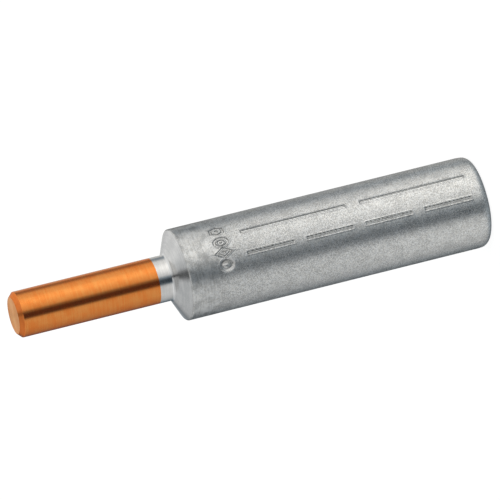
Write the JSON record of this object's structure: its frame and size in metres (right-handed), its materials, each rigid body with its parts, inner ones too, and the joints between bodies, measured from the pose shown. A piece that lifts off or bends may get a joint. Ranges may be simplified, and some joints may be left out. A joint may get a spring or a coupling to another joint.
{
  "type": "bimetallic pin terminal",
  "caption": "Round aluminium crimp barrel with a blind bore and a solid copper pin welded to its neck; joins an aluminium cable to a clamp for copper.",
  "frame": {"origin": "middle of the barrel's mouth, on the surface that the part stands on", "axes": "+Z along the axis from the mouth of the barrel to the tip of the pin; the rows of crimp guide marks are on the -Y side"},
  "size_m": [0.016, 0.016, 0.0844],
  "materials": {
    "aluminium": "tumbled, fine grained and slightly blotchy, with a turned shoulder and neck",
    "copper": null
  },
  "bodies": {
    "root": {"aluminium_barrel": "aluminium", "copper_pin": "copper"}
  },
  "joints": []
}
